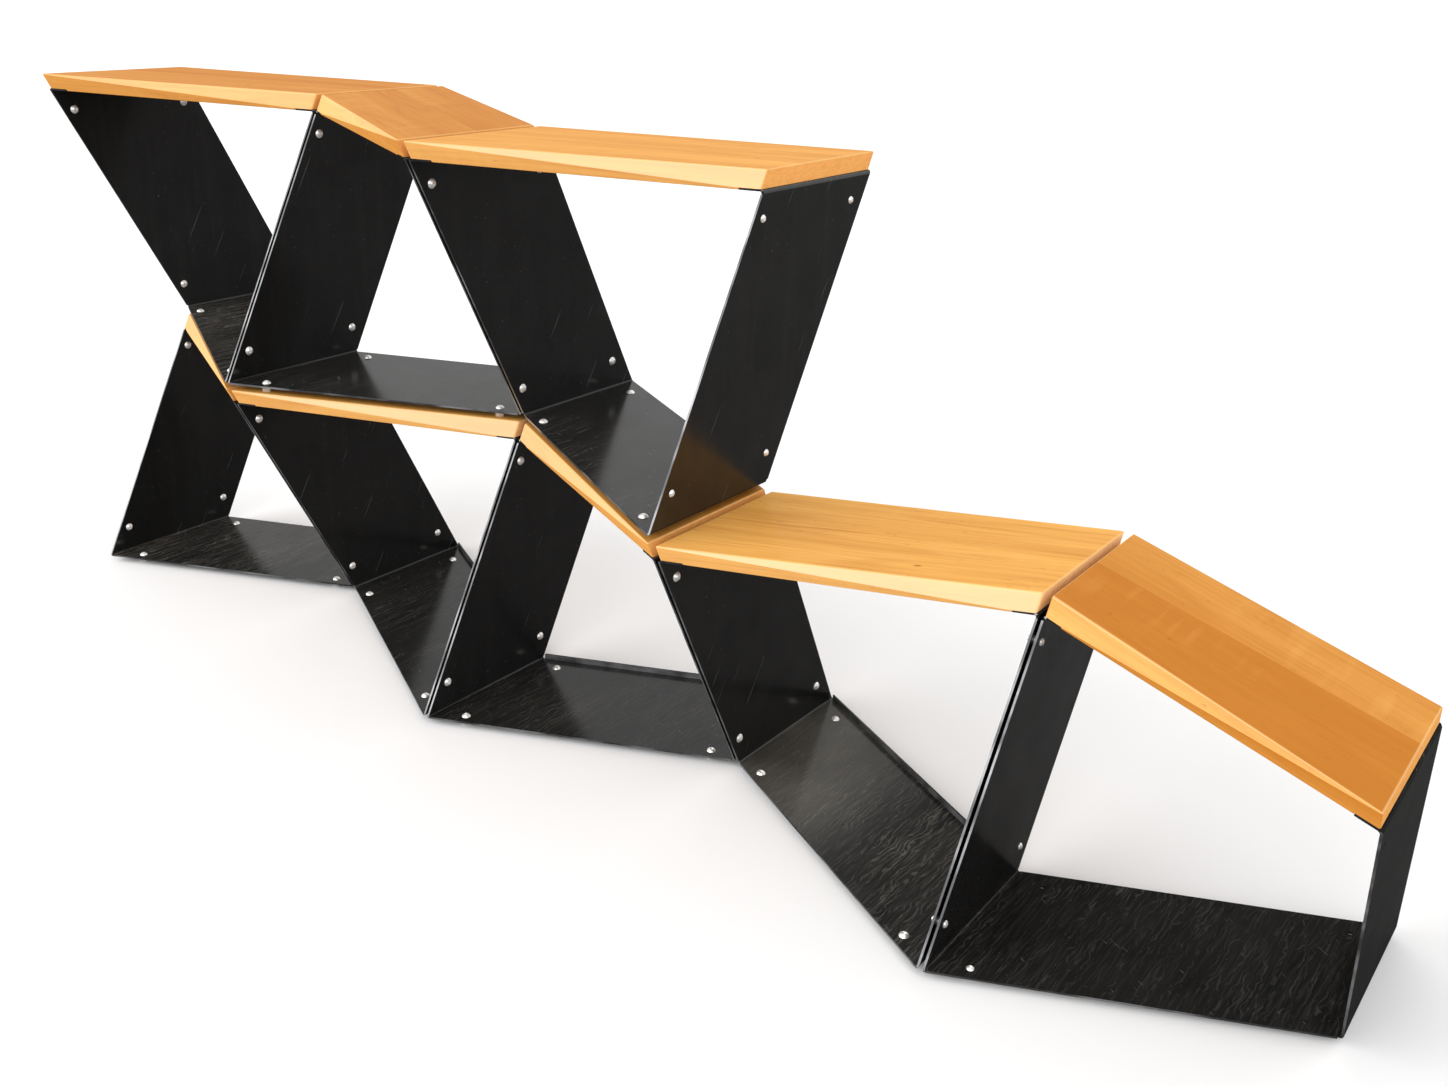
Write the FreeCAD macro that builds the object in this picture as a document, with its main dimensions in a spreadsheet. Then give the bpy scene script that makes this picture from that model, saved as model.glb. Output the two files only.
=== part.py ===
import FreeCAD, Part
import math
import os
import Sketcher

# Zigzag bookshelf: eight modules, five in the lower row and three stacked on its left end.
# A module is one folded black steel tray with a solid wood slab on its two top flanges.
# Floors and slabs are level and the sides are upright, but each of them is a parallelogram:
# the front edges run back and forth by one zigzag from corner to corner, like a checkerboard.
# X runs along the row, -Y is the front, +Z is up; the origin is under the middle of the whole.

doc = FreeCAD.newDocument("zigzag_bookshelf")
sheet = doc.addObject("Spreadsheet::Sheet", "Sizes")

SIZES = [
    ("module_pitch", 450, "from one module to the next along a row"),
    ("plate_gap", 5, "space between the side plates of two neighbours"),
    ("zigzag", 225, "how far a front edge runs back over one module"),
    ("depth_run", 260, "depth of every panel, front edge to back edge"),
    ("module_height", 440, "underside of the tray floor to the top of the slab"),
    ("sheet_steel", 3, "thickness of the tray sheet"),
    ("bend_radius", 3, "inside radius of the folds"),
    ("flange_width", 30, "top flange, measured from the outside of its side plate"),
    ("slab_thickness", 27, "thickness of the wood slab"),
    ("slab_end_inset", 3.5, "slab end to the outside of its side plate"),
    ("rebate_clearance", 1, "play round a flange in the rebate of its slab"),
    ("lip_height", 12, "upturned back lip of the three middle floors"),
    ("lip_end_gap", 2, "lip end to the fold of the side plate"),
    ("bolt_diameter", 8, "shank of the machine bolts"),
    ("bolt_play", 0.6, "bolt hole over bolt shank, on the diameter"),
    ("thread_play", 0.1, "nut bore over bolt shank, on the diameter"),
    ("head_diameter", 14, "domed bolt head"),
    ("head_height", 4.4, "domed bolt head"),
    ("socket_flats", 5, "hexagon socket of the bolt head"),
    ("socket_depth", 2.4, "hexagon socket of the bolt head"),
    ("nut_flats", 13, "hexagon nuts"),
    ("nut_height", 6.5, "hexagon nuts on the side plates"),
    ("thread_end", 2, "bolt past its nut"),
    ("spacer_diameter", 16, "spacer washers in the gap between two plates"),
    ("small_bolt_diameter", 6, "shank of the smaller bolts at the right-hand ends"),
    ("small_head_diameter", 10.5, "domed head of a smaller bolt"),
    ("small_head_height", 3.3, "domed head of a smaller bolt"),
    ("small_socket_flats", 4, "hexagon socket of a smaller bolt"),
    ("small_socket_depth", 1.9, "hexagon socket of a smaller bolt"),
    ("small_nut_flats", 10, "hexagon nuts of the smaller bolts"),
    ("small_nut_height", 5, "hexagon nuts of the smaller bolts"),
    ("small_spacer_diameter", 12, "spacer washers on the smaller bolts"),
    ("foot_height", 10, "blind nuts that the floors stand on"),
    ("foot_thread", 7, "bolt inside a foot"),
    ("side_bolt_low", 48, "lower side bolts above the tray underside"),
    ("side_bolt_drop", 37, "upper side bolts below the top of the flange"),
    ("side_bolt_front", 20, "side bolts behind the front edge"),
    ("side_bolt_back", 30, "side bolts in front of the back edge"),
    ("floor_bolt_side", 45, "floor bolts from the outside of the side plate"),
    ("floor_bolt_front", 20, "floor bolts behind the front edge"),
    ("floor_bolt_back", 32, "floor bolts in front of the back edge"),
    ("screw_diameter", 4, "wood screws that hold a slab down"),
    ("screw_play", 0.5, "screw hole over screw shank, on the diameter"),
    ("screw_length", 16, "wood screw in flange and slab"),
    ("screw_head", 8, "pan head of the wood screws"),
    ("screw_head_height", 2.5, "pan head of the wood screws"),
    ("screw_side", 18, "wood screws from the outside of the side plate"),
    ("screw_edge", 40, "wood screws from the front and the back edge"),
    ("overrun", 10, "how far the cutting outlines run past the metal"),
]
for line, (alias, value, note) in enumerate(SIZES, start=1):
    sheet.set(f"A{line}", note)
    sheet.set(f"B{line}", str(value))
    sheet.setAlias(f"B{line}", alias)
doc.recompute()

# Sizes that follow from the sheet, as expressions for the sketches.
SHEET = "Sizes.sheet_steel"
DEPTH = "Sizes.depth_run"
OVER = "Sizes.overrun"
STEEL = "(Sizes.module_height - Sizes.slab_thickness + Sizes.sheet_steel)"
FOLD = "(Sizes.sheet_steel + Sizes.bend_radius)"
SPAN = "(Sizes.zigzag + Sizes.depth_run)"
SCREW_HOLE = "(Sizes.screw_diameter + Sizes.screw_play)"

LOWER_ROW = "abcde"
UPPER_ROW = "fgh"

# Bolts come in two sizes; the names of the smaller one's measures start with its word.
LARGE, SMALL = "", "small_"


def bolt_hole(size):
    return f"(Sizes.{size}bolt_diameter + Sizes.bolt_play)"


def nut_reach(size):
    """How far a nut and the thread end in it stand out from a plate."""
    return f"(Sizes.{size}nut_height + Sizes.thread_end)"


def value_of(expression):
    return float(sheet.evalExpression(expression))


def upward(place):
    return f"(({place}) / Sizes.module_height)"


def front_line(rising, share):
    """Depth of a front edge; a rising one runs from front to back as the share grows."""
    return f"(Sizes.zigzag * {share})" if rising else f"(Sizes.zigzag * (1 - {share}))"


class Module:
    """Where one module stands and which hand it is; neighbours and stacked modules alternate."""

    def __init__(self, letter, column, upper):
        self.letter = letter
        self.column = column
        self.upper = upper
        self.small_panels = ()
        self.rising = (column + upper) % 2 == 0
        self.width = "(Sizes.module_pitch - Sizes.plate_gap)"
        # Half of what the nuts on the left row end stand out keeps the origin under the middle.
        start = f"({column} - {len(LOWER_ROW)} / 2) * Sizes.module_pitch"
        storey = "(Sizes.module_height + Sizes.foot_height)" if upper else "0"
        self.corner = (
            f"{start} + Sizes.plate_gap / 2 + {nut_reach(LARGE)} / 2",
            f"(0 - {SPAN} / 2)",
            f"Sizes.foot_height + {storey}")

    def across(self, place):
        return f"(({place}) / {self.width})"

    def floor_front(self, side):
        return front_line(self.rising, self.across(side))

    def left_front(self, height):
        return front_line(self.rising, upward(height))

    def right_front(self, height):
        return front_line(not self.rising, upward(height))

    def level_front(self, side, height):
        """Front edge at any height, straight from the left side plate to the right one."""
        left, right = self.left_front(height), self.right_front(height)
        return f"({left} + ({right} - {left}) * {self.across(side)})"

    def mirrored(self, side):
        return f"({self.width} - {side})"

    def bolt_size(self, panel):
        return SMALL if panel in self.small_panels else LARGE

    # Places of the bolts and screws, by panel: two near the front edge and two near the back.
    def side_bolts(self, front):
        places = []
        for height in ("Sizes.side_bolt_low", f"({STEEL} - Sizes.side_bolt_drop)"):
            places.append((f"{front(height)} + Sizes.side_bolt_front", height))
            places.append((f"{front(height)} + {DEPTH} - Sizes.side_bolt_back", height))
        return places

    def floor_bolts(self):
        places = []
        for side in ("Sizes.floor_bolt_side", self.mirrored("Sizes.floor_bolt_side")):
            places.append((side, f"{self.floor_front(side)} + Sizes.floor_bolt_front"))
            places.append((side, f"{self.floor_front(side)} + {DEPTH} - Sizes.floor_bolt_back"))
        return places

    def slab_screws(self):
        places = []
        for side in ("Sizes.screw_side", self.mirrored("Sizes.screw_side")):
            front = self.level_front(side, STEEL)
            places.append((side, f"{front} + Sizes.screw_edge"))
            places.append((side, f"{front} + {DEPTH} - Sizes.screw_edge"))
        return places

    def spot(self, x, y, z):
        """A point of the module, in the frame of the whole."""
        local = FreeCAD.Vector(value_of(x), value_of(y), value_of(z))
        return local + FreeCAD.Vector(*[value_of(part) for part in self.corner])

    def place(self, piece):
        for axis, expression in zip("xyz", self.corner):
            piece.setExpression(f"Placement.Base.{axis}", expression)


# Sketches: every point and diameter is held by an expression.
def new_sketch(body, role, name, offset=None):
    sketch = body.newObject("Sketcher::SketchObject", name)
    plane = [p for p in body.Origin.OriginFeatures if p.Role == role][0]
    sketch.AttachmentSupport = [(plane, "")]
    sketch.MapMode = "FlatFace"
    if offset:
        sketch.setExpression("AttachmentOffset.Base.z", offset)
    return sketch


def hold(sketch, constraint, expression):
    index = sketch.addConstraint(constraint)
    sketch.setExpression(f"Constraints[{index}]", expression)


def pin_point(sketch, geometry, point, place):
    for kind, expression in zip(("DistanceX", "DistanceY"), place):
        hold(sketch, Sketcher.Constraint(kind, -1, 1, geometry, point, value_of(expression)), expression)


def add_outline(sketch, corners):
    points = [FreeCAD.Vector(value_of(x), value_of(y), 0) for x, y in corners]
    ends = points[1:] + points[:1]
    edges = [sketch.addGeometry(Part.LineSegment(a, b)) for a, b in zip(points, ends)]
    for edge, following, place in zip(edges, edges[1:] + edges[:1], corners):
        sketch.addConstraint(Sketcher.Constraint("Coincident", edge, 2, following, 1))
        pin_point(sketch, edge, 1, place)


def add_hole(sketch, place, diameter):
    centre = FreeCAD.Vector(value_of(place[0]), value_of(place[1]), 0)
    circle = Part.Circle(centre, FreeCAD.Vector(0, 0, 1), value_of(diameter) / 2)
    geometry = sketch.addGeometry(circle)
    pin_point(sketch, geometry, 3, place)
    hold(sketch, Sketcher.Constraint("Diameter", geometry, value_of(diameter)), diameter)


def add_pocket(body, sketch, length, inward):
    pocket = body.newObject("PartDesign::Pocket", sketch.Name + "_cut")
    pocket.Profile = sketch
    pocket.setExpression("Length", length)
    pocket.Reversed = inward


# The folded tray: floor, two side plates and two top flanges of one sheet.
def fold_edges(feature, places):
    """Names of the straight edges along Y that stand at the given places of the profile."""
    names = []
    for number, edge in enumerate(feature.Shape.Edges, start=1):
        a, b = edge.Vertexes[0].Point, edge.Vertexes[-1].Point
        near = value_of(SHEET) / 2
        along = abs(a.x - b.x) + abs(a.z - b.z) < near
        if along and any(abs(a.x - x) + abs(a.z - z) < near for x, z in places):
            names.append(f"Edge{number}")
    return names


def add_folds(body, base, name, places, radius):
    doc.recompute()
    fold = body.newObject("PartDesign::Fillet", name)
    fold.Base = (base, fold_edges(base, places))
    fold.setExpression("Radius", radius)
    return fold


def bend_sheet(body, module):
    """The sheet as a long folded channel, from the foremost to the rearmost corner."""
    wide, top, under = module.width, STEEL, f"({STEEL} - {SHEET})"
    flange, inside = "Sizes.flange_width", SHEET
    profile = new_sketch(body, "XZ_Plane", f"profile_{module.letter}")
    add_outline(profile, [
        ("0", "0"), (wide, "0"), (wide, top),
        (module.mirrored(flange), top), (module.mirrored(flange), under),
        (module.mirrored(inside), under), (module.mirrored(inside), SHEET),
        (inside, SHEET), (inside, under), (flange, under), (flange, top), ("0", top)])
    channel = body.newObject("PartDesign::Pad", f"channel_{module.letter}")
    channel.Profile = profile
    channel.Reversed = True
    channel.setExpression("Length", SPAN)
    right, high, thick = value_of(wide), value_of(top), value_of(SHEET)
    outer = [(0, 0), (right, 0), (0, high), (right, high)]
    inner = [(abs(x - thick), abs(z - thick)) for x, z in outer]
    folds = add_folds(body, channel, f"outer_folds_{module.letter}", outer, FOLD)
    add_folds(body, folds, f"inner_folds_{module.letter}", inner, "Sizes.bend_radius")
    doc.recompute()


def slant_side(body, name, front, outside):
    """Cut the slanted front and back edges of one side plate."""
    sketch = new_sketch(body, "YZ_Plane", name, outside)
    low, high = f"(0 - {OVER})", f"({STEEL} + {OVER})"
    start, end = front(low), front(high)
    near, far = f"(0 - {OVER} - Sizes.zigzag)", f"({SPAN} + {OVER} + Sizes.zigzag)"
    add_outline(sketch, [(near, low), (start, low), (end, high), (near, high)])
    back_start, back_end = f"({start} + {DEPTH})", f"({end} + {DEPTH})"
    add_outline(sketch, [(back_start, low), (far, low), (far, high), (back_end, high)])
    add_pocket(body, sketch, FOLD, outside is None)


def slant_level(body, name, module, ends, level):
    """Cut the slanted front and back edges of the floor, or of the flanges at their level."""
    sketch = new_sketch(body, "XY_Plane", name, level)
    start, end = ends
    near, far = f"(0 - {OVER})", f"({SPAN} + {OVER})"
    add_outline(sketch, [("0", near), (module.width, near), (module.width, end), ("0", start)])
    back_start, back_end = f"({start} + {DEPTH})", f"({end} + {DEPTH})"
    add_outline(sketch, [("0", back_start), (module.width, back_end), (module.width, far), ("0", far)])
    add_pocket(body, sketch, FOLD, level is None)


def drill(body, name, role, places, diameter, offset=None):
    sketch = new_sketch(body, role, name, offset)
    for place in places:
        add_hole(sketch, place, diameter)
    add_pocket(body, sketch, FOLD, offset is None)


def turn_up_lip(body, module):
    """Back edge of the floor, turned up between the two side plates."""
    sketch = new_sketch(body, "XY_Plane", f"lip_{module.letter}")
    left = f"({FOLD} + Sizes.lip_end_gap)"
    right = module.mirrored(left)
    back_left, back_right = [f"({module.floor_front(side)} + {DEPTH})" for side in (left, right)]
    add_outline(sketch, [
        (left, f"({back_left} - {SHEET})"), (right, f"({back_right} - {SHEET})"),
        (right, back_right), (left, back_left)])
    lip = body.newObject("PartDesign::Pad", f"lip_pad_{module.letter}")
    lip.Profile = sketch
    lip.setExpression("Length", "Sizes.lip_height")


def make_tray(module, lipped):
    letter, wide = module.letter, module.width
    body = doc.addObject("PartDesign::Body", f"tray_{letter}")
    body.Label = f"tray_{letter}"
    bend_sheet(body, module)
    slant_side(body, f"left_edge_{letter}", module.left_front, None)
    slant_side(body, f"right_edge_{letter}", module.right_front, wide)
    floor_ends = (module.floor_front("0"), module.floor_front(wide))
    slant_level(body, f"floor_edge_{letter}", module, floor_ends, None)
    flange_ends = (module.left_front(STEEL), module.right_front(STEEL))
    slant_level(body, f"flange_edge_{letter}", module, flange_ends, STEEL)
    left_hole, right_hole, floor_hole = [
        bolt_hole(module.bolt_size(panel)) for panel in ("left", "right", "floor")]
    drill(body, f"left_holes_{letter}", "YZ_Plane", module.side_bolts(module.left_front), left_hole)
    drill(body, f"right_holes_{letter}", "YZ_Plane", module.side_bolts(module.right_front), right_hole, wide)
    drill(body, f"floor_holes_{letter}", "XY_Plane", module.floor_bolts(), floor_hole)
    drill(body, f"flange_holes_{letter}", "XY_Plane", module.slab_screws(), SCREW_HOLE, STEEL)
    if lipped:
        turn_up_lip(body, module)
    return body


# The slab: a board whose ends follow the slant of the side plates. Its front and back are
# each two flat facets, planed to a ridge, because the four corners don't lie in one plane.
def slab_board(module):
    sides = ("Sizes.slab_end_inset", module.mirrored("Sizes.slab_end_inset"))
    levels = (f"({STEEL} - {SHEET})", "Sizes.module_height")
    corner = {}
    for end, side in enumerate(sides):
        for up, level in enumerate(levels):
            front = value_of(module.level_front(side, level))
            for back, depth in enumerate((front, front + value_of(DEPTH))):
                corner[end, up, back] = FreeCAD.Vector(value_of(side), depth, value_of(level))
    near = 0 if module.rising else 1
    far = 1 - near
    loops = [
        [(0, 0, 0), (0, 0, 1), (1, 0, 1), (1, 0, 0)],
        [(0, 1, 0), (1, 1, 0), (1, 1, 1), (0, 1, 1)],
        [(0, 0, 0), (0, 1, 0), (0, 1, 1), (0, 0, 1)],
        [(1, 0, 0), (1, 0, 1), (1, 1, 1), (1, 1, 0)],
        [(near, 0, 0), (far, 1, 0), (near, 1, 0)], [(near, 0, 0), (far, 0, 0), (far, 1, 0)],
        [(far, 0, 1), (near, 1, 1), (far, 1, 1)], [(far, 0, 1), (near, 0, 1), (near, 1, 1)]]
    faces = [Part.Face(Part.makePolygon([corner[key] for key in loop + loop[:1]])) for loop in loops]
    board = Part.Solid(Part.Shell(faces))
    return board if board.Volume > 0 else board.reversed()


def slab_cuts(module):
    """Rebates for the two flanges in the underside, and the pilot holes of the screws."""
    play, thick, over = value_of("Sizes.rebate_clearance"), value_of(SHEET), value_of(OVER)
    wide = value_of("Sizes.flange_width") + play
    base = value_of(f"({STEEL} - {SHEET})")
    cuts = []
    for start in (-over, value_of(module.width) - wide):
        low = FreeCAD.Vector(start, -over, base - over)
        cuts.append(Part.makeBox(wide + over, value_of(SPAN) + 2 * over, thick + over, low))
    for x, y in module.slab_screws():
        foot = FreeCAD.Vector(value_of(x), value_of(y), base)
        cuts.append(Part.makeCylinder(value_of(SCREW_HOLE) / 2, value_of("Sizes.screw_length") + play, foot))
    return cuts


def make_slab(module):
    slab = doc.addObject("Part::Feature", f"slab_{module.letter}")
    slab.Label = f"slab_{module.letter}"
    slab.Shape = slab_board(module).cut(slab_cuts(module))
    return slab


# Fasteners, each drawn along +Z from the face that it bears on.
def hexagon(flats, height, base=0):
    reach = FreeCAD.Vector(flats / 2 / math.cos(math.pi / 6), 0, base)
    axis = FreeCAD.Vector(0, 0, 1)
    points = [FreeCAD.Rotation(axis, 60 * k).multVec(reach) for k in range(7)]
    return Part.Face(Part.makePolygon(points)).extrude(axis * height)


def dome(diameter, height):
    """A spherical cap that stands on its flat."""
    ball = (diameter * diameter / 4 + height * height) / (2 * height)
    sphere = Part.makeSphere(ball, FreeCAD.Vector(0, 0, height - ball))
    return sphere.common(Part.makeCylinder(diameter, height))


def headed(head, diameter, grip):
    shank = Part.makeCylinder(diameter / 2, grip, FreeCAD.Vector(0, 0, -grip))
    return head.fuse(shank).removeSplitter()


def bolt_shape(grip, size):
    """Domed head with a hexagon socket, and a shank of the given grip behind it."""
    height, depth = value_of(f"Sizes.{size}head_height"), value_of(f"Sizes.{size}socket_depth")
    socket = hexagon(value_of(f"Sizes.{size}socket_flats"), height, height - depth)
    head = dome(value_of(f"Sizes.{size}head_diameter"), height).cut(socket)
    return headed(head, value_of(f"Sizes.{size}bolt_diameter"), value_of(grip))


def screw_shape():
    head = dome(value_of("Sizes.screw_head"), value_of("Sizes.screw_head_height"))
    return headed(head, value_of("Sizes.screw_diameter"), value_of("Sizes.screw_length"))


def bored(body, depth, size):
    radius = value_of(f"(Sizes.{size}bolt_diameter + Sizes.thread_play) / 2")
    return body.cut(Part.makeCylinder(radius, depth))


def nut_shape(size):
    height = value_of(f"Sizes.{size}nut_height")
    return bored(hexagon(value_of(f"Sizes.{size}nut_flats"), height), height, size)


def foot_shape(size):
    """A tall blind nut; its closed end is the face that the shelf stands on."""
    thread = value_of("Sizes.foot_thread + Sizes.thread_play")
    return bored(hexagon(value_of(f"Sizes.{size}nut_flats"), value_of("Sizes.foot_height")), thread, size)


def spacer_shape(size):
    gap = value_of("Sizes.plate_gap")
    return bored(Part.makeCylinder(value_of(f"Sizes.{size}spacer_diameter") / 2, gap), gap, size)


UPRIGHT = FreeCAD.Rotation()
HANGING = FreeCAD.Rotation(FreeCAD.Vector(1, 0, 0), 180)
ALONG_X = FreeCAD.Rotation(FreeCAD.Vector(0, 1, 0), 90)
AGAINST_X = FreeCAD.Rotation(FreeCAD.Vector(0, 1, 0), -90)

sub_parts = []


def make_group(name, turn, *sets):
    """One node of like fasteners, each a separate solid; a set is one shape and its spots."""
    group = doc.addObject("Part::Feature", name)
    group.Label = name
    copies = []
    for shape, spots in sets:
        for spot in spots:
            copy = shape.copy()
            copy.Placement = FreeCAD.Placement(spot, turn)
            copies.append(copy)
    group.Shape = Part.makeCompound(copies)
    sub_parts.append(group)


def level_spots(module, places, level):
    return [module.spot(x, y, level) for x, y in places]


def left_spots(module, side):
    return [module.spot(side, y, z) for y, z in module.side_bolts(module.left_front)]


def right_spots(module, side):
    return [module.spot(side, y, z) for y, z in module.side_bolts(module.right_front)]


lower = [Module(letter, column, False) for column, letter in enumerate(LOWER_ROW)]
upper = [Module(letter, column, True) for column, letter in enumerate(UPPER_ROW)]
lipped_modules = lower[1:-1]
last = lower[-1]

# The last lower module and the free upper end have bolts a size smaller than the rest.
lower[-2].small_panels = ("right",)
last.small_panels = ("left", "right", "floor")
upper[-1].small_panels = ("right",)

# Trays and slabs, each placed where its module stands.
for module in lower + upper:
    for piece in (make_tray(module, module in lipped_modules), make_slab(module)):
        module.place(piece)
        sub_parts.append(piece)

# Floor bolts and the feet under them. The last module has a bolt at its front left corner
# only: its other holes are open.
FOOT_GRIP = f"({SHEET} + Sizes.foot_thread)"
for module in lower + upper:
    places = module.floor_bolts()[:1] if module is last else module.floor_bolts()
    size = module.bolt_size("floor")
    bolt_spots = level_spots(module, places, SHEET)
    make_group(f"floor_bolts_{module.letter}", UPRIGHT, (bolt_shape(FOOT_GRIP, size), bolt_spots))
    make_group(f"feet_{module.letter}", HANGING, (foot_shape(size), level_spots(module, places, "0")))

# Where two modules of a row meet, bolts run through both side plates and the spacers between
# them. The heads are in the right-hand module, the nuts in the left-hand one.
JOINT_PLATES = f"2 * {SHEET} + Sizes.plate_gap"
NUT_FACE = f"(0 - Sizes.plate_gap - {SHEET})"
for row_name, row in (("lower", lower), ("upper", upper)):
    spacers = []
    for left, right in zip(row, row[1:]):
        joint = left.letter + right.letter
        size = right.bolt_size("left")
        bolt = bolt_shape(f"({JOINT_PLATES} + {nut_reach(size)})", size)
        make_group(f"joint_bolts_{joint}", ALONG_X, (bolt, left_spots(right, SHEET)))
        make_group(f"joint_nuts_{joint}", AGAINST_X, (nut_shape(size), left_spots(right, NUT_FACE)))
        spacers.append((spacer_shape(size), left_spots(right, "0")))
    make_group(f"joint_spacers_{row_name}", AGAINST_X, *spacers)
    screw_spots = []
    for module in row:
        screw_spots += level_spots(module, module.slab_screws(), f"({STEEL} - {SHEET})")
    make_group(f"slab_screws_{row_name}", HANGING, (screw_shape(), screw_spots))


# Free ends: bolts through one plate, heads inside on the left and outside on the upper right.
def end_bolts(module, head_spots, nut_spots, size):
    bolt = bolt_shape(f"({SHEET} + {nut_reach(size)})", size)
    make_group(f"end_bolts_{module.letter}", ALONG_X, (bolt, head_spots))
    make_group(f"end_nuts_{module.letter}", AGAINST_X, (nut_shape(size), nut_spots))


for module in (lower[0], upper[0]):
    end_bolts(module, left_spots(module, SHEET), left_spots(module, "0"), module.bolt_size("left"))
module = upper[-1]
head_spots, nut_spots = right_spots(module, module.width), right_spots(module, module.mirrored(SHEET))
end_bolts(module, head_spots, nut_spots, module.bolt_size("right"))

doc.recompute()
for item in doc.Objects:
    if "Invalid" in item.State or "Error" in item.State:
        raise RuntimeError(f"{item.Label} failed: {item.State}")
for piece in sub_parts:
    if piece.Shape.isNull() or not piece.Shape.isValid():
        raise RuntimeError(f"{piece.Label} has no valid shape")

os.makedirs("parts", exist_ok=True)
for piece in sub_parts:
    piece.Shape.exportStep(os.path.join("parts", piece.Label + ".step"))
print(len(sub_parts), "sub-parts written")
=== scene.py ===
import math

import bmesh
import bpy
from mathutils import Matrix, Vector


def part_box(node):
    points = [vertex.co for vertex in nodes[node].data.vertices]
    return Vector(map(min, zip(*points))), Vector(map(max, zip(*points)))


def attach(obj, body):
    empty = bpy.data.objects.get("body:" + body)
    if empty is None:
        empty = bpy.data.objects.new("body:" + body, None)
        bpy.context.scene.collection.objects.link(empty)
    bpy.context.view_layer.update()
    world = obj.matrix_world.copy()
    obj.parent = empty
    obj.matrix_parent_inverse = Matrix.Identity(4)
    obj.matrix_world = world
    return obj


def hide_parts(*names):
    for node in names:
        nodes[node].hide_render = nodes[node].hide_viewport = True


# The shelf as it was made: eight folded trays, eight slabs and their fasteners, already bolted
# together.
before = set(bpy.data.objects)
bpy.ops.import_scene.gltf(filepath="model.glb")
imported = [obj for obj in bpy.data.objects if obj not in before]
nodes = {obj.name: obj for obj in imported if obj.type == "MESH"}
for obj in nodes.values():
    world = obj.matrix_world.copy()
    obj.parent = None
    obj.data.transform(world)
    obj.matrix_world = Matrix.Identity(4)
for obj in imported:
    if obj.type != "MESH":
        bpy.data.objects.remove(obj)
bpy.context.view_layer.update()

# Trays: each is folded from one piece of hot-rolled steel sheet, blackened, waxed and rubbed down.
# The wax has left fine wavy lines in the floors, most of all at the left end and beside the stacked
# modules, and there are thin scratches on the side plates. The cut edges are bare steel.
LOWER_ROW, UPPER_ROW = "abcde", "fgh"
STEEL_BLACK = (0.0068, 0.0067, 0.0065)
STEEL_SMOKE = (0.0200, 0.0185, 0.0160)
WAX_LINE = (0.112, 0.107, 0.096)
PAINTED_REFLECTION_BROWN = (0.094, 0.088, 0.074)
SCRATCH = (0.20, 0.20, 0.195)
BARE_DARK = (0.055, 0.055, 0.058)
BARE_LIGHT = (0.28, 0.28, 0.29)
WAX_RELIEF = 0.00015
# Where the finish changes along the row: the places where each change begins and is complete.
LEFT_FLOORS_END = (-0.70, -0.66)
WAX_THICKENS = (0.10, 0.30)
PAINTED_REFLECTION_STARTS = (0.20, 0.25)
PAINTED_REFLECTION_ENDS = (0.30, 0.52)
SHINE_FADES = (0.36, 0.56)
LAST_FLOOR_STARTS = (0.66, 0.70)
END_PLATE_STARTS = (1.08, 1.12)
# How squarely a face looks up if it is level, and to the front or back if it is a cut edge.
LEVEL_FACES = (0.5, 0.9)
EDGES_FROM = (0.870, 0.880)
EDGES_TO = (0.903, 0.913)


class Field:
    """A number, colour or place that varies over a surface. Arithmetic adds Math nodes."""

    def __init__(self, finish, socket):
        self.finish = finish
        self.socket = socket

    def math(self, operation, *others):
        values = dict(enumerate((self, *others)))
        return self.finish.node("ShaderNodeMath", {"operation": operation}, values)

    def __add__(self, other):
        return self.math("ADD", other)

    def __sub__(self, other):
        return self.math("SUBTRACT", other)

    def __rsub__(self, other):
        return self * -1 + other

    def __mul__(self, other):
        return self.math("MULTIPLY", other)

    __radd__ = __add__
    __rmul__ = __mul__

    def clamped(self):
        return self.math("MAXIMUM", 0.0).math("MINIMUM", 1.0)

    def step(self, low, high):
        """0 below low, 1 above high and a smooth rise between them."""
        return self.finish.node("ShaderNodeMapRange", {"interpolation_type": "SMOOTHSTEP"}, {
            "Value": self, "From Min": low, "From Max": high})

    def lines(self, count, width):
        """Contour lines of the field, count of them over a rise of two."""
        return 1 - (self * count).math("PINGPONG", 1.0).step(0.0, width)


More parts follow.
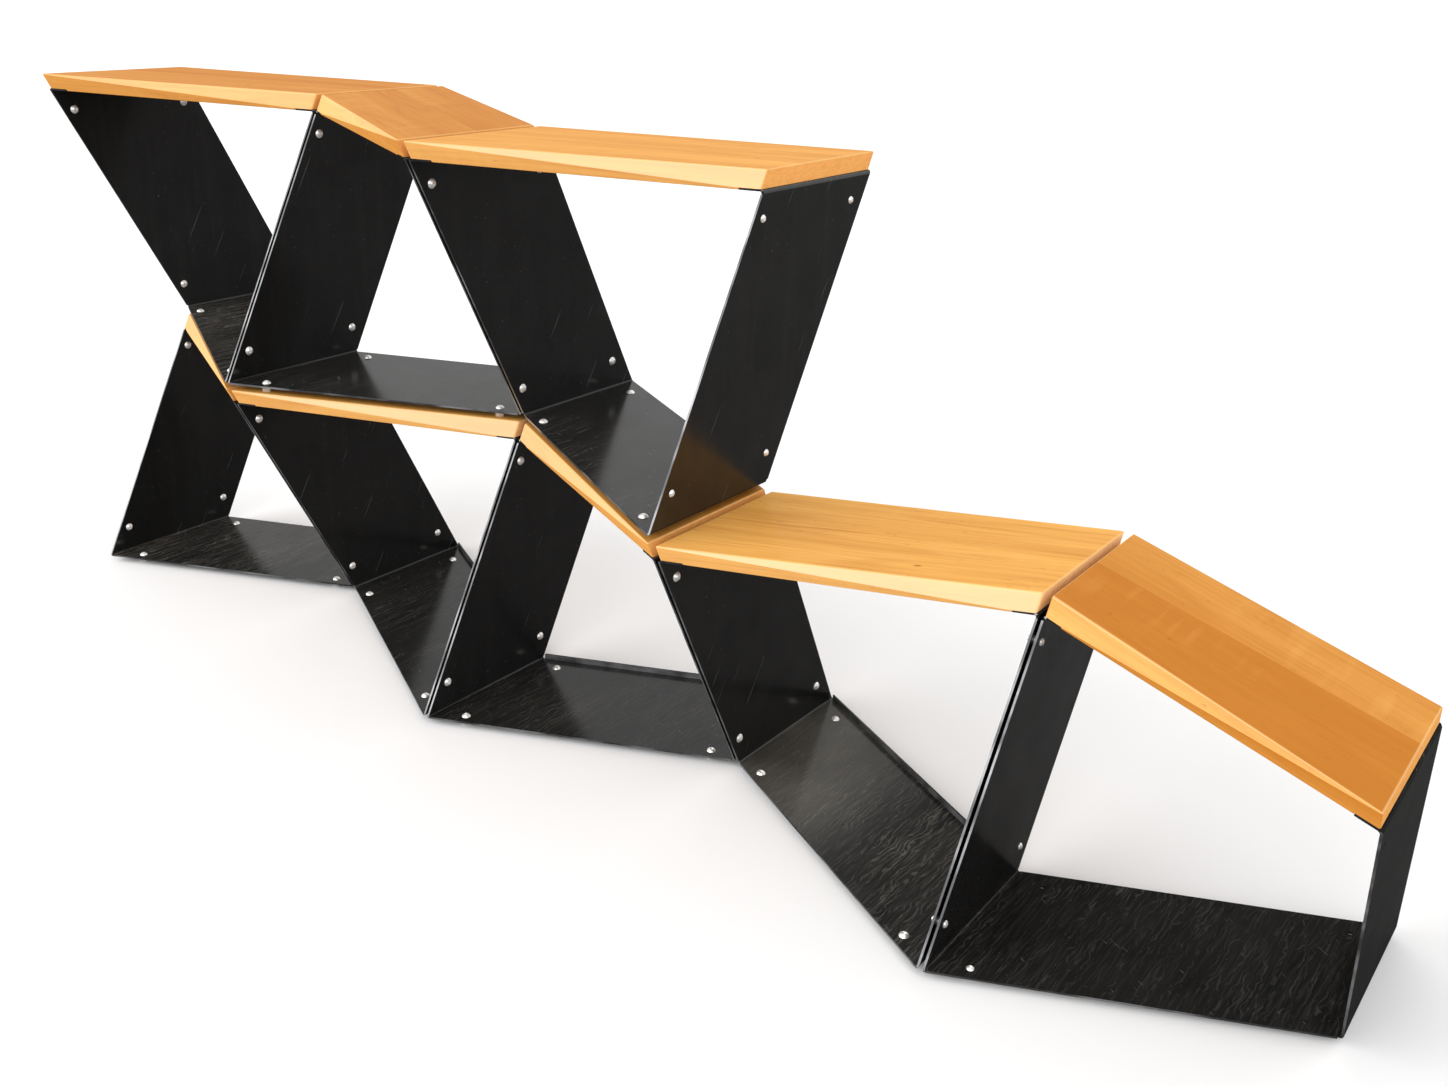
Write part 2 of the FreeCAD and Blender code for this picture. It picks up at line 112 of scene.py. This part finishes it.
class Finish:
    """One material. Every node that is added to it comes from the node method."""

    # The sockets of a Mix node that carry colours.
    MIX_COLOURS = (6, 7)
    MIX_RESULT = 2

    def __init__(self, name):
        self.material = bpy.data.materials.new(name)
        self.material.use_nodes = True
        self.tree = self.material.node_tree
        self.shader = self.tree.nodes["Principled BSDF"]

    def node(self, kind, settings, values, output=0):
        made = self.tree.nodes.new(kind)
        for key, value in settings.items():
            setattr(made, key, value)
        for key, value in values.items():
            self.feed(made.inputs[key], value)
        return Field(self, made.outputs[output])

    def feed(self, socket, value):
        if isinstance(value, Field):
            self.tree.links.new(value.socket, socket)
        else:
            socket.default_value = value

    def set(self, **values):
        for key, value in values.items():
            self.feed(self.shader.inputs[key.replace("_", " ")], value)

    def stretched(self, place, stretch):
        return self.node("ShaderNodeVectorMath", {"operation": "MULTIPLY"}, {0: place, 1: stretch})

    def noise(self, place, waves, detail, seed):
        """A cloudy pattern with so many waves per metre in each direction."""
        return self.node("ShaderNodeTexNoise", {"noise_dimensions": "4D"}, {
            "Vector": self.stretched(place, waves), "Scale": 1.0, "Detail": detail, "W": seed})

    def parts(self, vector):
        first = self.node("ShaderNodeSeparateXYZ", {}, {0: vector})
        return [Field(self, socket) for socket in first.socket.node.outputs]

    def mix(self, amount, first, second):
        values = {0: amount}
        for key, colour in zip(self.MIX_COLOURS, (first, second)):
            values[key] = colour if isinstance(colour, Field) else (*colour, 1.0)
        return self.node("ShaderNodeMix", {"data_type": "RGBA"}, values, self.MIX_RESULT)

    def bump(self, height, depth):
        return self.node("ShaderNodeBump", {}, {"Height": height, "Distance": depth})


def black_steel():
    steel = Finish("black_steel")
    place = steel.node("ShaderNodeTexCoord", {}, {}, "Object")
    x, y, z = steel.parts(place)
    facing = steel.node("ShaderNodeNewGeometry", {}, {}, "True Normal")
    forward, upward = [part.math("ABSOLUTE") for part in steel.parts(facing)[1:]]
    level = upward.step(*LEVEL_FACES)
    first = 1 - x.step(*LEFT_FLOORS_END)
    last = x.step(*LAST_FLOOR_STARTS)
    # Wax lines run close together from front to back, sway a little and are broken into short runs.
    sway = steel.noise(place, (10.0, 8.0, 10.0), detail=2.0, seed=3.1)
    ripple = steel.noise(place, (70.0, 32.0, 70.0), detail=2.0, seed=8.4)
    runs = steel.noise(place, (130.0, 14.0, 130.0), detail=2.5, seed=1.7)
    runs = (runs - last * 0.05).step(0.40, 0.62)
    breaks = steel.noise(place, (90.0, 18.0, 90.0), detail=2.5, seed=7.7).step(0.44, 0.66)
    close = (x * 290.0 + sway * 13.0 + ripple * 7.0).lines(1.0, 0.45) * runs
    wide = (x * 170.0 - sway * 9.0 + ripple * 5.0).lines(1.0, 0.28) * breaks
    lines = close.math("MAXIMUM", wide)
    strands = steel.noise(place, (420.0, 24.0, 420.0), detail=2.0, seed=5.2)
    rubbed = steel.noise(place, (7.0, 5.0, 7.0), detail=3.0, seed=5.9).step(0.34, 0.68)
    waxed = level * (x.step(*WAX_THICKENS) * 0.60 + first * 0.95 - last * 0.56 + 0.40)
    wax = (lines * 0.75 + (strands - 0.45).clamped() * 1.4) * (rubbed * 0.6 + 0.4) * waxed
    # The side plates keep a faint upright figure from the mill.
    drawn = steel.noise(place, (30.0, 75.0, 5.0), detail=3.0, seed=6.1)
    drawn = (drawn - 0.44).clamped() * (1 - level)
    # Scratches run aslant over the side plates.
    aslant = steel.node("ShaderNodeCombineXYZ", {}, {
        "X": y * 0.5 + z * 0.87, "Y": y * 0.87 - z * 0.5 + x * 0.4, "Z": x})
    scratches = steel.noise(aslant, (7.0, 330.0, 40.0), detail=1.0, seed=2.8).step(0.735, 0.765)
    specks = steel.noise(place, (420.0, 420.0, 420.0), detail=1.0, seed=2.2).step(0.74, 0.80)
    cloud = steel.noise(place, (8.0, 4.0, 8.0), detail=4.0, seed=6.6).step(0.34, 0.72)
    sheet = steel.mix(cloud * (waxed * 0.9 + 0.1), STEEL_BLACK, STEEL_SMOKE)
    # Painted reflection: a paler brown patch on the floor beside the stacked modules.
    painted_reflection_zone = x.step(*PAINTED_REFLECTION_STARTS) * (1 - x.step(*PAINTED_REFLECTION_ENDS)) * level
    sheet = steel.mix(painted_reflection_zone * (rubbed * 0.4 + 0.35), sheet, PAINTED_REFLECTION_BROWN)
    sheet = steel.mix((wax + drawn * 0.1).clamped(), sheet, WAX_LINE)
    sheet = steel.mix((scratches * 0.25 + specks * 0.5).clamped(), sheet, SCRATCH)
    # Cut edges are bare; all of them lean alike, so the walls of the bolt holes stay black.
    edge = forward.step(*EDGES_FROM) * (1 - forward.step(*EDGES_TO))
    bright = steel.noise(place, (16.0, 16.0, 16.0), detail=3.0, seed=9.3).step(0.36, 0.66)
    bare = steel.mix(bright, BARE_DARK, BARE_LIGHT)
    # The wax shines most on the plates, less on the last one, and the right-hand floors are dull.
    haze = steel.noise(place, (20.0, 20.0, 20.0), detail=4.0, seed=4.4)
    gloss = (haze * 0.12 + 0.12) * (1 + (1 - level) * 3.5) * (1 - x.step(*END_PLATE_STARTS) * 0.7)
    shine = 0.40 - painted_reflection_zone * 0.12 - x.step(*SHINE_FADES) * 0.46 - last * 0.06
    steel.set(
        Base_Color=steel.mix(edge, sheet, bare),
        Metallic=edge * 0.7,
        Roughness=(haze * 0.20 + 0.35).clamped(),
        Coat_Weight=(gloss + (level - lines * waxed * 0.6) * shine - edge * 0.2).clamped(),
        Normal=steel.bump(lines * waxed + haze * 0.5, WAX_RELIEF))
    steel.set(Specular_IOR_Level=0.0, Coat_Roughness=0.17)
    return steel.material


def dress(names, material):
    for name in names:
        for slot in nodes[name].material_slots:
            slot.material = material


dress([f"tray_{letter}" for letter in LOWER_ROW + UPPER_ROW], black_steel())

# Slabs: each is two wide staves of honey-coloured maple, glued edge to edge, planed, eased along
# its edges and varnished. The ends follow the slant of the side plates. The four corners of the
# front don't lie in one plane, so it is planed to two flat facets, and so is the back.
ZIGZAG = 0.225
PANEL_DEPTH = 0.260
MODULE_HEIGHT = 0.440
SLAB_INSET = 0.0035
REBATE_WIDTH = 0.031
REBATE_DEPTH = 0.003
EASED_EDGE = 0.0022
EASED_STEPS = 3
EASED_FROM_DEGREES = 55
SHARP_FROM_DEGREES = 35
STAVES = {
    # letter: depth of colour in front and behind, then the front stave's width at left and right
    "a": (0.60, 0.50, 0.125, 0.130), "b": (0.20, 0.45, 0.140, 0.135),
    "c": (0.55, 0.75, 0.120, 0.125), "d": (0.14, 0.10, 0.105, 0.110),
    "e": (1.10, 0.66, 0.135, 0.160), "f": (0.72, 0.86, 0.115, 0.110),
    "g": (0.80, 0.85, 0.150, 0.145), "h": (0.30, 0.38, 0.135, 0.140)}
LOG_STEP = 4.7
GLUE_LINE = (-0.0005, 0.0005)
GRAIN_RELIEF = 0.00010
HONEY_PALE = (0.75, 0.385, 0.096)
HONEY_DEEP = (0.47, 0.170, 0.021)
HONEY_PAINTED_LIGHT = (0.82, 0.56, 0.340)
HONEY_STREAK = (0.40, 0.125, 0.014)
HONEY_SHEEN = (0.90, 0.52, 0.160)
PITH_FLECK = (0.24, 0.075, 0.012)
HONEY_PAINTED_HIGHLIGHT = (0.88, 0.58, 0.270)
END_PAINTED_LIGHT = (0.98, 0.67, 0.340)
END_DEEP = (0.76, 0.360, 0.110)
END_DEEPENS = (0.15, 0.30)


def honey_maple():
    wood = Finish("honey_maple")
    grain = wood.node("ShaderNodeAttribute", {"attribute_name": "grain"}, {}, "Vector")
    across, high = wood.parts(grain)[1:]
    front_tone, back_tone, seam = wood.parts(
        wood.node("ShaderNodeAttribute", {"attribute_name": "staves"}, {}, "Vector"))
    behind = (across - seam).step(*GLUE_LINE)
    tone = front_tone + (back_tone - front_tone) * behind
    # The back stave comes from another place in the log, so its figure differs.
    shift = wood.node("ShaderNodeCombineXYZ", {}, {"X": behind * 1.9, "Z": behind * 0.8})
    log = wood.node("ShaderNodeVectorMath", {"operation": "ADD"}, {0: grain, 1: shift})
    bands = wood.noise(log, (0.9, 22.0, 22.0), detail=3.0, seed=1.3)
    figure = wood.noise(log, (2.2, 12.0, 12.0), detail=1.5, seed=1.0)
    rings = (figure + high * 1.4).lines(17.0, 0.85) * figure.step(0.36, 0.62)
    fibre = wood.noise(log, (8.0, 250.0, 250.0), detail=3.0, seed=2.0)
    curl = wood.noise(log, (60.0, 9.0, 9.0), detail=1.5, seed=3.0)
    curled = wood.noise(log, (3.0, 7.0, 7.0), detail=1.0, seed=3.7).step(0.48, 0.66)
    flecks = wood.noise(log, (46.0, 240.0, 240.0), detail=1.0, seed=4.0).step(0.735, 0.785)
    streaks = wood.noise(log, (4.5, 120.0, 120.0), detail=1.0, seed=4.6).step(0.70, 0.78)
    pins = 1 - wood.node("ShaderNodeTexVoronoi", {}, {
        "Vector": wood.stretched(log, (5.0, 9.0, 9.0)), "Scale": 1.0}).step(0.012, 0.034)
    marks = wood.noise(log, (26.0, 70.0, 70.0), detail=2.0, seed=7.1).lines(10.0, 0.35)
    marked = wood.noise(log, (9.0, 20.0, 20.0), detail=1.0, seed=8.8).step(0.54, 0.66)
    facing = wood.node("ShaderNodeNewGeometry", {}, {}, "True Normal")
    endwise, forward, upward = wood.parts(facing)
    endwise, forward = endwise.math("ABSOLUTE"), forward.math("ABSOLUTE")
    # Painted light: fronts and backs are painted paler, most of all on the facets that lean back.
    painted_front_light = forward.step(0.45, 0.75) * (upward.step(-0.3, 0.4) * 0.65 + 0.10)
    stain = tone * (1 - painted_front_light * 0.9) + (bands - 0.5) * 0.9 + (figure - 0.5) * 0.4
    colour = wood.mix(stain.clamped(), HONEY_PALE, HONEY_DEEP)
    colour = wood.mix(rings * 0.22, colour, HONEY_STREAK)
    colour = wood.mix(((fibre - 0.47) * 1.3 + streaks * 0.40).clamped(), colour, HONEY_STREAK)
    colour = wood.mix(((curl - 0.5) * 0.45 * curled).clamped(), colour, HONEY_SHEEN)
    colour = wood.mix(marks * marked * 0.22, colour, HONEY_STREAK)
    colour = wood.mix((flecks * 0.65 + pins * 0.8).clamped(), colour, PITH_FLECK)
    # Painted light: the fronts and backs of the paler staves are painted paler still.
    colour = wood.mix(painted_front_light * (1 - tone * 0.80), colour, HONEY_PAINTED_LIGHT)
    # End grain is as deep as its stave; on the palest staves it is painted pale, as painted light.
    end = endwise.step(0.72, 0.86)
    pores = wood.noise(grain, (20.0, 420.0, 420.0), detail=2.0, seed=5.0)
    years = wood.noise(grain, (1.0, 26.0, 60.0), detail=2.0, seed=6.0).lines(15.0, 0.8)
    cross = wood.mix(tone.step(*END_DEEPENS), END_PAINTED_LIGHT, END_DEEP)
    cross = wood.mix((years * 0.16 + (pores - 0.45) * 0.35).clamped(), cross, HONEY_STREAK)
    # Painted highlight: the upper edges are painted pale, along the ends and the fronts.
    painted_edge_highlight = upward.step(0.52, 0.62) * (1 - upward.step(0.975, 0.995)) * (
        forward * 0.4 + endwise * 0.5 + 0.15)
    wood.set(
        Base_Color=wood.mix(painted_edge_highlight, wood.mix(end * 0.8, colour, cross), HONEY_PAINTED_HIGHLIGHT),
        Roughness=(0.30 + fibre * 0.12 + end * 0.12).clamped(),
        Coat_Weight=0.12 - end * 0.06,
        Normal=wood.bump(fibre * 0.6 + rings * 0.2 - flecks * 0.6 - pins, GRAIN_RELIEF))
    wood.set(Coat_Roughness=0.18, Specular_IOR_Level=0.0)
    return wood.material


def front_of_slab(name, rising):
    """The depth of a slab's front edge at any place along it and any height."""
    low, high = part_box(name)
    left, right = low[0] - SLAB_INSET, high[0] + SLAB_INSET
    floor = high[2] - MODULE_HEIGHT

    def front(x, z):
        near = ZIGZAG * (z - floor) / MODULE_HEIGHT
        if not rising:
            near = ZIGZAG - near
        share = (x - left) / (right - left)
        return near + (ZIGZAG - 2 * near) * share - (ZIGZAG + PANEL_DEPTH) / 2
    return front


def slab_board(name, rising, front):
    """The board before easing and routing: eight corners, front and back creased outwards."""
    low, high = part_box(name)
    board = bmesh.new()
    corner = {}
    for end, x in enumerate((low[0], high[0])):
        for up, z in enumerate((low[2], high[2])):
            for back in (0, 1):
                place = (x, front(x, z) + back * PANEL_DEPTH, z)
                corner[end, up, back] = board.verts.new(place)
    near, far = (0, 1) if rising else (1, 0)
    for loop in (
            [(0, 0, 0), (0, 0, 1), (1, 0, 1), (1, 0, 0)],
            [(0, 1, 0), (1, 1, 0), (1, 1, 1), (0, 1, 1)],
            [(0, 0, 0), (0, 1, 0), (0, 1, 1), (0, 0, 1)],
            [(1, 0, 0), (1, 0, 1), (1, 1, 1), (1, 1, 0)],
            [(near, 0, 0), (far, 1, 0), (near, 1, 0)],
            [(near, 0, 0), (far, 0, 0), (far, 1, 0)],
            [(far, 0, 1), (near, 1, 1), (far, 1, 1)],
            [(far, 0, 1), (near, 0, 1), (near, 1, 1)]):
        board.faces.new([corner[key] for key in loop])
    bmesh.ops.recalc_face_normals(board, faces=board.faces)
    mesh = bpy.data.meshes.new(name)
    board.to_mesh(mesh)
    board.free()
    return mesh


def rebate_bars(name):
    """What a router takes out under both ends for the flanges of the tray."""
    low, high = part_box(name)
    bars = bmesh.new()
    size = Matrix.Diagonal((REBATE_WIDTH, 2 * (ZIGZAG + PANEL_DEPTH), 2 * REBATE_DEPTH, 1.0))
    half = REBATE_WIDTH / 2
    for x in (low[0] - SLAB_INSET + half, high[0] + SLAB_INSET - half):
        place = Matrix.Translation((x, 0.0, low[2]))
        bmesh.ops.create_cube(bars, size=1.0, matrix=place @ size)
    mesh = bpy.data.meshes.new("rebate_bars")
    bars.to_mesh(mesh)
    bars.free()
    return bpy.data.objects.new("rebate_bars", mesh)


def drop_spare_points(mesh):
    """Take out the points that routing leaves along an edge, where no other edge meets them."""
    cut = bmesh.new()
    cut.from_mesh(mesh)
    spare = [point for point in cut.verts if len(point.link_edges) == 2]
    bmesh.ops.dissolve_verts(cut, verts=spare)
    cut.to_mesh(mesh)
    cut.free()


def mark_grain(mesh, front, letter, number):
    """Write where each point lies in its board: along the grain, across it and up."""
    start = min(vertex.co.x for vertex in mesh.vertices)
    length = max(vertex.co.x for vertex in mesh.vertices) - start
    floor = min(vertex.co.z for vertex in mesh.vertices)
    grain = mesh.attributes.new("grain", "FLOAT_VECTOR", "POINT")
    staves = mesh.attributes.new("staves", "FLOAT_VECTOR", "POINT")
    front_tone, back_tone, left_width, right_width = STAVES[letter]
    for vertex in mesh.vertices:
        x, y, z = vertex.co
        along = x - start
        seam = left_width + (right_width - left_width) * along / length
        grain.data[vertex.index].vector = (along + number * LOG_STEP, y - front(x, z), z - floor)
        staves.data[vertex.index].vector = (front_tone, back_tone, seam)


def make_slab(letter, number, material):
    name = f"slab_{letter}"
    row = UPPER_ROW if letter in UPPER_ROW else LOWER_ROW
    rising = (row.index(letter) + (row == UPPER_ROW)) % 2 == 0
    front = front_of_slab(name, rising)
    slab = bpy.data.objects.new(f"board_{letter}", slab_board(name, rising, front))
    bars = rebate_bars(name)
    for piece in (slab, bars):
        bpy.context.scene.collection.objects.link(piece)
    ease = slab.modifiers.new("eased_edges", "BEVEL")
    ease.width = EASED_EDGE
    ease.segments = EASED_STEPS
    ease.limit_method = "ANGLE"
    ease.angle_limit = math.radians(EASED_FROM_DEGREES)
    rout = slab.modifiers.new("rebates", "BOOLEAN")
    rout.operation = "DIFFERENCE"
    rout.object = bars
    finished = slab.evaluated_get(bpy.context.evaluated_depsgraph_get())
    shaped = bpy.data.meshes.new_from_object(finished)
    slab.modifiers.clear()
    slab.data = shaped
    bpy.data.objects.remove(bars)
    drop_spare_points(shaped)
    mark_grain(shaped, front, letter, number)
    shaped.materials.clear()
    shaped.materials.append(material)
    shaped.shade_smooth()
    shaped.set_sharp_from_angle(angle=math.radians(SHARP_FROM_DEGREES))
    slab.modifiers.new("flat_faces", "WEIGHTED_NORMAL").keep_sharp = True
    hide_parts(name)
    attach(slab, "root")


maple_finish = honey_maple()
for number, letter in enumerate(LOWER_ROW + UPPER_ROW):
    make_slab(letter, number, maple_finish)

# Bolts, nuts, spacers, screws and feet: zinc-plated steel, bright but a little cloudy, with
# dull patches where a spanner or key has been.
ZINC_BRIGHT = (0.93, 0.92, 0.90)
ZINC_DULL = (0.70, 0.69, 0.67)
ZINC_RELIEF = 0.00003


def zinc_plating():
    zinc = Finish("zinc_plating")
    place = zinc.node("ShaderNodeTexCoord", {}, {}, "Object")
    cloud = zinc.noise(place, (260.0, 260.0, 260.0), detail=3.0, seed=1.0)
    rub = zinc.noise(place, (900.0, 300.0, 900.0), detail=2.0, seed=2.0)
    zinc.set(
        Base_Color=zinc.mix(cloud.step(0.38, 0.72), ZINC_BRIGHT, ZINC_DULL),
        Roughness=(cloud * 0.2 + rub * 0.12 + 0.16).clamped(),
        Normal=zinc.bump(rub, ZINC_RELIEF))
    zinc.set(Metallic=0.7)
    return zinc.material


dress([name for name in nodes if not name.startswith(("tray_", "slab_"))], zinc_plating())

# Studio: a wide white floor and an even white surround, two large soft lights from the front and
# a weak one on the right. A grey sheet just above the floor is seen only in reflections: it paints
# darker reflections into the waxed steel and the bolts.
FLOOR_REACH = 400.0
FLOOR_WHITE = (0.82, 0.82, 0.82)
SURROUND_WHITE = (1.0, 1.0, 1.0)
SURROUND_POWER = 1.1
REFLECTION_SHEET_REACH = 30.0
REFLECTION_SHEET_RISE = 0.0005
REFLECTION_SHEET_GREY = (0.14, 0.14, 0.14)
LIGHTS = {
    # name: the way to it from the shelf, and its power
    "left_window": ((-0.60, -0.70, 0.42), 1.40),
    "front_window": ((0.12, -0.90, 0.42), 0.90),
    "right_fill": ((0.80, -0.25, 0.55), 0.35)}
LIGHT_DEGREES = 50.0


def matt(name, colour):
    paint = Finish(name)
    paint.set(Base_Color=(*colour, 1.0), Roughness=0.9, Specular_IOR_Level=0.0)
    return paint.material


def floor_sheet(name, reach, rise, material):
    sheet = bmesh.new()
    bmesh.ops.create_grid(
        sheet, x_segments=2, y_segments=2, size=reach, matrix=Matrix.Translation((0.0, 0.0, rise)))
    mesh = bpy.data.meshes.new(name)
    sheet.to_mesh(mesh)
    sheet.free()
    mesh.materials.append(material)
    floor = bpy.data.objects.new(name, mesh)
    bpy.context.scene.collection.objects.link(floor)
    return floor


def window_light(name, way, power):
    lamp = bpy.data.lights.new(name, "SUN")
    lamp.energy = power
    lamp.angle = math.radians(LIGHT_DEGREES)
    light = bpy.data.objects.new(name, lamp)
    light.rotation_euler = (-Vector(way)).to_track_quat("-Z", "Y").to_euler()
    bpy.context.scene.collection.objects.link(light)


floor_sheet("studio_floor", FLOOR_REACH, 0.0, matt("floor_white", FLOOR_WHITE))
# Painted reflection: a grey sheet that the camera, diffuse light and shadows don't see.
reflection_sheet = floor_sheet("reflection_only_sheet", REFLECTION_SHEET_REACH, REFLECTION_SHEET_RISE, matt("reflection_sheet_grey", REFLECTION_SHEET_GREY))
reflection_sheet.visible_camera = False
reflection_sheet.visible_diffuse = False
reflection_sheet.visible_transmission = False
reflection_sheet.visible_shadow = False
for name, (way, power) in LIGHTS.items():
    window_light(name, way, power)
surround = bpy.data.worlds.new("white_surround")
surround.use_nodes = True
glow = surround.node_tree.nodes["Background"]
glow.inputs["Color"].default_value = (*SURROUND_WHITE, 1.0)
glow.inputs["Strength"].default_value = SURROUND_POWER
bpy.context.scene.world = surround
bpy.context.scene.view_settings.view_transform = "Standard"

# Camera: at chest height, in front of the right-hand end, looking down along the row. Its place,
# its turn and its lens were fitted to the corners of the shelf.
CAMERA_PLACE = (1.2507, -1.4908, 1.1790)
CAMERA_AZIMUTH = 35.92
CAMERA_ELEVATION = 24.10
CAMERA_ROLL = 2.99
CAMERA_LENS = 34.23
SENSOR_WIDTH = 36.0

viewer = bpy.data.cameras.new("viewer")
viewer.lens = CAMERA_LENS
viewer.sensor_width = SENSOR_WIDTH
camera = bpy.data.objects.new("viewer", viewer)
turn = Matrix.Rotation(math.radians(CAMERA_AZIMUTH), 4, "Z")
tilt = Matrix.Rotation(math.radians(90.0 - CAMERA_ELEVATION), 4, "X")
roll = Matrix.Rotation(math.radians(CAMERA_ROLL), 4, "Z")
camera.matrix_world = Matrix.Translation(CAMERA_PLACE) @ turn @ tilt @ roll
bpy.context.scene.collection.objects.link(camera)
bpy.context.scene.camera = camera
